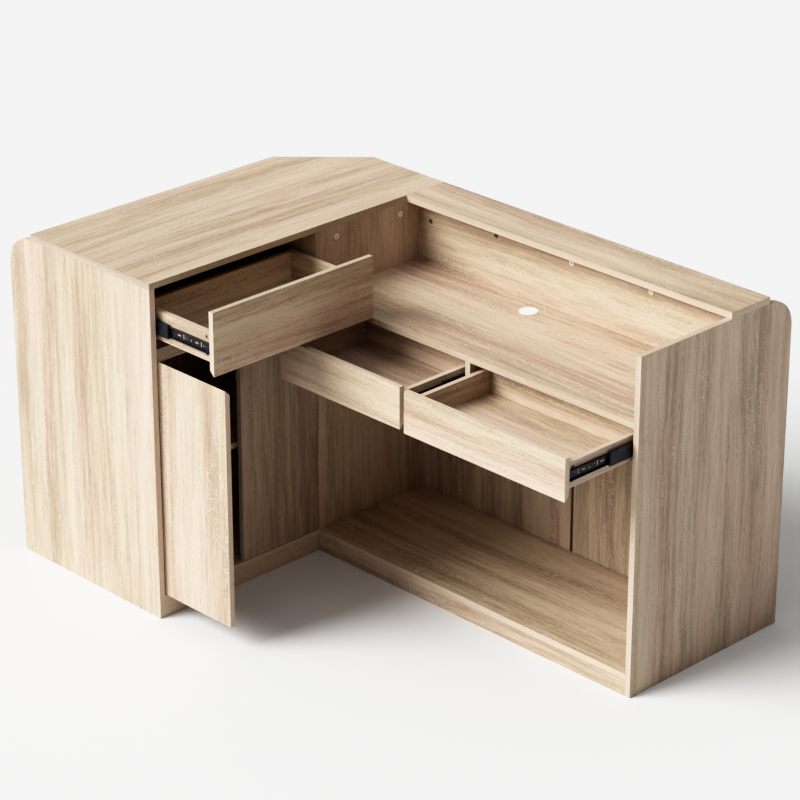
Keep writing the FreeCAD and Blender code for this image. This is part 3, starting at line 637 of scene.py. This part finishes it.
def cup_screws(door):
    """Screws in the flanges of a door's hinge cups."""
    out, hinged_edge = HINGED[door]
    low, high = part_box(f"{door}_hinge_cups")
    surface = max(low.dot(out), high.dot(out))
    column = max(low.dot(hinged_edge), high.dot(hinged_edge)) - FLANGE_MIDDLE
    places = []
    for cup in (low.z + HALF_FLANGE, high.z - HALF_FLANGE):
        for offset in (-FLANGE_SCREW, FLANGE_SCREW):
            places.append((out * surface + hinged_edge * column + Z * (cup + offset), out))
    screws(f"{door}_hinge_screws", places, HINGE_SCREW, door)


def plate_fittings():
    """Screws in the hinges' wall plates, and a pressed body with its adjuster on each plate."""
    low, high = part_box("hinge_arms")
    places, bodies = [], []
    for wall, inward in ((low.y + PLATE_THICKNESS, Y), (high.y - PLATE_THICKNESS, -Y)):
        for height in (low.z + HALF_PLATE, high.z - HALF_PLATE):
            middle = X * (low.x + PLATE_MIDDLE) + Y * wall + Z * height
            for offset in (-PLATE_SCREW, PLATE_SCREW):
                places.append((middle + Z * offset, inward))
            for size, rounding, behind, off_face in PRESSED_BLOCKS:
                block = soft_block(size, rounding)
                block.transform(Matrix.Translation(middle - X * behind + inward * off_face))
                bodies.append(block)
    screws("hinge_plate_screws", places, HINGE_SCREW, "carcass")
    piece("hinge_bodies", merged(bodies), NICKEL, "carcass")


# The grommet's lid, from its underside up over the raised rim to the middle of its dome, as shares of
# the cap's radius and height.
LID_OUTLINE = ((0, 0), (0.985, 0), (0.985, 0.75), (0.95, 1), (0.86, 1.02), (0.83, 0.80),
               (0.5, 1.05), (0, 1.12))
LID_SEGMENTS = 64


def grommet_lid():
    """A low domed cap with a raised rim."""
    low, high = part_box("grommet_cap")
    centre = (low + high) / 2
    lid = outlined(LID_OUTLINE, (high.x - low.x) / 2, high.z - low.z, LID_SEGMENTS)
    made = piece("grommet_lid", lid, WHITE, "carcass",
                 Matrix.Translation((centre.x, centre.y, low.z)))
    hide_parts("grommet_cap")


def build():
    paint_nodes()
    for drawer in DRAWERS:
        slide_bumpers(drawer)
        runner_screws(drawer)
        cam_recess_shades(drawer)
    for door in HINGED:
        cup_screws(door)
    plate_fittings()
    grommet_lid()


# ---- Studio -----------------------------------------------------------------------------------

FLOOR_RADIUS = 40.0
FLOOR_SEGMENTS = 96
FLOOR_TONES = ((0.790, 0.790, 0.790, 1), (0.810, 0.808, 0.807, 1))
CAMERA_PLACE = Vector((5.5725, -5.4070, 4.0975))
CAMERA_AZIMUTH = math.radians(45.695)
CAMERA_PITCH = math.radians(24.417)
CAMERA_LENS = 139.45                     # mm
CAMERA_SENSOR = 36                       # mm
KEY_FROM = Vector((-0.68, -1.22, 1.0))
KEY_STRENGTH = 7.9
KEY_ANGLE = math.radians(38)
OVERHEAD_FROM = Vector((-0.1, -0.25, 1.0))
OVERHEAD_STRENGTH = 2.2
OVERHEAD_ANGLE = math.radians(120)
AMBIENT = (0.070, 0.071, 0.073, 1)
BACKDROP = (1.78, 1.78, 1.78, 1)
FILM_WHITE = 3.0                         # the brightest scene value that the film curve covers
FILM_CONTRAST = 1.5
FILM_POINTS = 14


def floor():
    """A pale floor, slightly cloudy in tone, far wider than the picture."""
    mesh = bmesh.new()
    bmesh.ops.create_circle(mesh, cap_ends=True, segments=FLOOR_SEGMENTS, radius=FLOOR_RADIUS)
    data = bpy.data.meshes.new("studio_floor")
    mesh.to_mesh(data)
    mesh.free()
    material, g, shader = new_material("pale_floor", Roughness=0.85)
    place, _ = object_place(g)
    g.feed(shader.inputs["Base Color"], g.mix(g.noise(place, 0.6, 3), *FLOOR_TONES))
    data.materials.append(material)
    made = bpy.data.objects.new("studio_floor", data)
    bpy.context.scene.collection.objects.link(made)


def light(name, direction, strength, angle):
    """A broad, distant lamp that shines from a direction."""
    lamp = bpy.data.lights.new(name, "SUN")
    lamp.energy = strength
    lamp.angle = angle
    made = bpy.data.objects.new(name, lamp)
    made.rotation_euler = direction.to_track_quat("Z", "Y").to_euler()
    bpy.context.scene.collection.objects.link(made)


def surroundings():
    """Even pale light from all round, and a white backdrop behind the scene."""
    world = bpy.data.worlds.new("studio")
    world.use_nodes = True
    g = Graph(world.node_tree)
    world.node_tree.nodes.clear()
    path = g.node("ShaderNodeLightPath")
    background = g.node("ShaderNodeBackground")
    g.feed(background.inputs["Color"], g.mix(path.outputs["Is Camera Ray"], AMBIENT, BACKDROP))
    output = g.node("ShaderNodeOutputWorld")
    g.feed(output.inputs["Surface"], background.outputs[0])
    bpy.context.scene.world = world


def camera():
    """An ordinary camera that looks down at the desk from the staff side."""
    data = bpy.data.cameras.new("camera")
    data.lens = CAMERA_LENS
    data.sensor_width = CAMERA_SENSOR
    made = bpy.data.objects.new("camera", data)
    made.location = CAMERA_PLACE
    made.rotation_euler = (math.pi / 2 - CAMERA_PITCH, 0, CAMERA_AZIMUTH)
    bpy.context.scene.collection.objects.link(made)
    bpy.context.scene.camera = made


def film():
    """A film-like response: brightness rolls off smoothly towards white."""
    view = bpy.context.scene.view_settings
    view.view_transform = "Standard"
    view.use_curve_mapping = True
    mapping = view.curve_mapping
    mapping.white_level = (FILM_WHITE,) * 3
    curve = mapping.curves[3]
    for i in range(FILM_POINTS + 1):
        exposure = (i / FILM_POINTS) ** 2
        response = 1 - math.exp(-(exposure * FILM_WHITE) ** FILM_CONTRAST)
        if i in (0, FILM_POINTS):
            curve.points[0 if i == 0 else -1].location = (exposure, response)
        else:
            curve.points.new(exposure, response)
    mapping.update()


build()
floor()
light("key_light", KEY_FROM, KEY_STRENGTH, KEY_ANGLE)
light("overhead_light", OVERHEAD_FROM, OVERHEAD_STRENGTH, OVERHEAD_ANGLE)
surroundings()
camera()
film()
